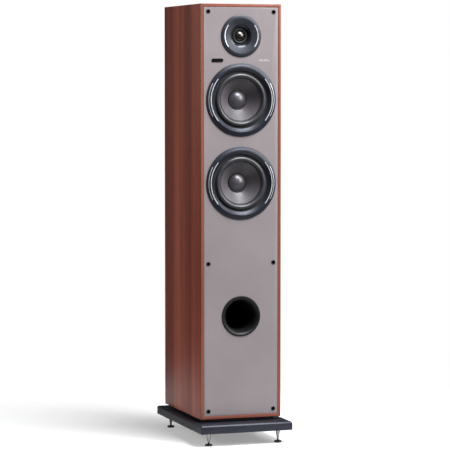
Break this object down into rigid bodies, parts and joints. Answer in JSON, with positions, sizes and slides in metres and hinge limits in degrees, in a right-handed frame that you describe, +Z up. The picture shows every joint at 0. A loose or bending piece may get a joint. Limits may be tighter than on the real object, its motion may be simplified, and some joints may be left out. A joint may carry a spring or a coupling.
{
  "type": "floorstanding loudspeaker",
  "caption": "Tall wooden loudspeaker with a grey front, dome tweeter, cone woofers and a reflex port, on a black plinth with spiked feet.",
  "frame": {"origin": "on the floor below the centre of the plinth", "axes": "+Z up along the cabinet; -Y towards the listener, out of the front; +X to the right of someone who looks at the front"},
  "size_m": [0.234, 0.361, 1.065],
  "materials": {
    "veneer": "open-pore red-brown veneer, satin lacquer",
    "baffle_paint": "fine-textured grey baffle",
    "bare_board": "bare fibreboard",
    "moulded_black": "satin dark moulding",
    "cast_frame": "black coated frame",
    "surround_rubber": "soft black roll",
    "treated_cloth": "resin-treated cloth",
    "plated_steel": "zinc plated",
    "ferrite": "ground ferrite",
    "cone_grey": "woven dark grey cone",
    "cap_grey": "smooth satin dark grey cap",
    "copper_wire": "enamelled copper winding",
    "dome_metal": "dark anodised",
    "port_plastic": "black moulding",
    "socket_rubber": "black rubber",
    "badge_black": "glossy black badge",
    "black_board": "black textured lacquer over board",
    "foot_chrome": "bright plated steel",
    "pad_metal": "black coated steel",
    "cup_plastic": "black moulding",
    "post_gilt": "bright gilt plating",
    "post_black": "black cap",
    "post_red": "red cap",
    "circuit_board": "green laminate"
  },
  "bodies": {
    "cabinet": {"left_side_panel": "veneer", "right_side_panel": "veneer", "bottom_panel": "veneer", "top_panel": "veneer", "front_baffle": "baffle_paint", "rear_panel": "veneer", "upper_brace": "bare_board", "lower_brace": "bare_board", "upper_woofer_trim_ring": "moulded_black", "upper_woofer_basket": "cast_frame", "upper_woofer_surround": "surround_rubber", "upper_woofer_spider": "treated_cloth", "upper_woofer_top_plate": "plated_steel", "upper_woofer_magnet": "ferrite", "upper_woofer_yoke": "plated_steel", "lower_woofer_trim_ring": "moulded_black", "lower_woofer_basket": "cast_frame", "lower_woofer_surround": "surround_rubber", "lower_woofer_spider": "treated_cloth", "lower_woofer_top_plate": "plated_steel", "lower_woofer_magnet": "ferrite", "lower_woofer_yoke": "plated_steel", "tweeter_faceplate": "moulded_black", "tweeter_surround": "surround_rubber", "tweeter_motor": "ferrite", "port_tube": "port_plastic", "grille_socket_top_left": "socket_rubber", "grille_socket_top_right": "socket_rubber", "grille_socket_middle_left": "socket_rubber", "grille_socket_middle_right": "socket_rubber", "grille_socket_bottom_left": "socket_rubber", "grille_socket_bottom_right": "socket_rubber", "badge_plate": "badge_black", "plinth_board": "black_board", "plinth_riser": "black_board", "terminal_cup": "cup_plastic", "negative_post_stud": "post_gilt", "positive_post_stud": "post_gilt", "crossover_board": "circuit_board", "crossover_inductor": "copper_wire"},
    "upper_woofer_moving": {"upper_woofer_cone": "cone_grey", "upper_woofer_dust_cap": "cap_grey", "upper_woofer_voice_coil": "copper_wire"},
    "lower_woofer_moving": {"lower_woofer_cone": "cone_grey", "lower_woofer_dust_cap": "cap_grey", "lower_woofer_voice_coil": "copper_wire"},
    "tweeter_moving": {"tweeter_dome": "dome_metal", "tweeter_voice_coil": "copper_wire"},
    "foot_front_left_pad": {"foot_pad_front_left": "pad_metal"},
    "foot_front_left_spike": {"spike_front_left": "foot_chrome"},
    "foot_front_right_pad": {"foot_pad_front_right": "pad_metal"},
    "foot_front_right_spike": {"spike_front_right": "foot_chrome"},
    "foot_rear_left_pad": {"foot_pad_rear_left": "pad_metal"},
    "foot_rear_left_spike": {"spike_rear_left": "foot_chrome"},
    "foot_rear_right_pad": {"foot_pad_rear_right": "pad_metal"},
    "foot_rear_right_spike": {"spike_rear_right": "foot_chrome"},
    "negative_post_washer_body": {"negative_post_washer": "post_gilt"},
    "negative_post_cap_body": {"negative_post_cap": "post_black"},
    "positive_post_washer_body": {"positive_post_washer": "post_gilt"},
    "positive_post_cap_body": {"positive_post_cap": "post_red"}
  },
  "joints": [
    {"name": "upper_woofer_stroke", "type": "slide", "parent": "cabinet", "child": "upper_woofer_moving", "axis": [0, -1, 0], "range_m": [-0.005, 0.005], "stiffness_N_per_m": 900, "deforming": ["upper_woofer_surround", "upper_woofer_spider"]},
    {"name": "lower_woofer_stroke", "type": "slide", "parent": "cabinet", "child": "lower_woofer_moving", "axis": [0, -1, 0], "range_m": [-0.005, 0.005], "stiffness_N_per_m": 900, "deforming": ["lower_woofer_surround", "lower_woofer_spider"]},
    {"name": "tweeter_stroke", "type": "slide", "parent": "cabinet", "child": "tweeter_moving", "axis": [0, -1, 0], "range_m": [-0.0005, 0.0005], "stiffness_N_per_m": 1500, "deforming": ["tweeter_surround"]},
    {"name": "foot_front_left_height", "type": "slide", "parent": "cabinet", "child": "foot_front_left_pad", "axis": [0, 0, -1], "range_m": [0, 0.01]},
    {"name": "foot_front_left_turn", "type": "hinge", "parent": "foot_front_left_pad", "child": "foot_front_left_spike", "pos_m": [-0.089, -0.1525, 0], "axis": [0, 0, -1], "range_deg": [0, 2881]},
    {"name": "foot_front_right_height", "type": "slide", "parent": "cabinet", "child": "foot_front_right_pad", "axis": [0, 0, -1], "range_m": [0, 0.01]},
    {"name": "foot_front_right_turn", "type": "hinge", "parent": "foot_front_right_pad", "child": "foot_front_right_spike", "pos_m": [0.089, -0.1525, 0], "axis": [0, 0, -1], "range_deg": [0, 2881]},
    {"name": "foot_rear_left_height", "type": "slide", "parent": "cabinet", "child": "foot_rear_left_pad", "axis": [0, 0, -1], "range_m": [0, 0.01]},
    {"name": "foot_rear_left_turn", "type": "hinge", "parent": "foot_rear_left_pad", "child": "foot_rear_left_spike", "pos_m": [-0.089, 0.1525, 0], "axis": [0, 0, -1], "range_deg": [0, 2881]},
    {"name": "foot_rear_right_height", "type": "slide", "parent": "cabinet", "child": "foot_rear_right_pad", "axis": [0, 0, -1], "range_m": [0, 0.01]},
    {"name": "foot_rear_right_turn", "type": "hinge", "parent": "foot_rear_right_pad", "child": "foot_rear_right_spike", "pos_m": [0.089, 0.1525, 0], "axis": [0, 0, -1], "range_deg": [0, 2881]},
    {"name": "negative_post_travel", "type": "slide", "parent": "cabinet", "child": "negative_post_washer_body", "axis": [0, 1, 0], "range_m": [0, 0.006]},
    {"name": "negative_post_turn", "type": "hinge", "parent": "negative_post_washer_body", "child": "negative_post_cap_body", "pos_m": [-0.017, 0.1437, 0.2], "axis": [0, 1, 0], "range_deg": [0, 2161]},
    {"name": "positive_post_travel", "type": "slide", "parent": "cabinet", "child": "positive_post_washer_body", "axis": [0, 1, 0], "range_m": [0, 0.006]},
    {"name": "positive_post_turn", "type": "hinge", "parent": "positive_post_washer_body", "child": "positive_post_cap_body", "pos_m": [0.017, 0.1437, 0.2], "axis": [0, 1, 0], "range_deg": [0, 2161]}
  ],
  "couplings": [
    {"joint": "foot_front_left_turn", "follows": "foot_front_left_height", "rad_per_m": 5026.5},
    {"joint": "foot_front_right_turn", "follows": "foot_front_right_height", "rad_per_m": 5026.5},
    {"joint": "foot_rear_left_turn", "follows": "foot_rear_left_height", "rad_per_m": 5026.5},
    {"joint": "foot_rear_right_turn", "follows": "foot_rear_right_height", "rad_per_m": 5026.5},
    {"joint": "negative_post_turn", "follows": "negative_post_travel", "rad_per_m": 6283.2},
    {"joint": "positive_post_turn", "follows": "positive_post_travel", "rad_per_m": 6283.2}
  ]
}
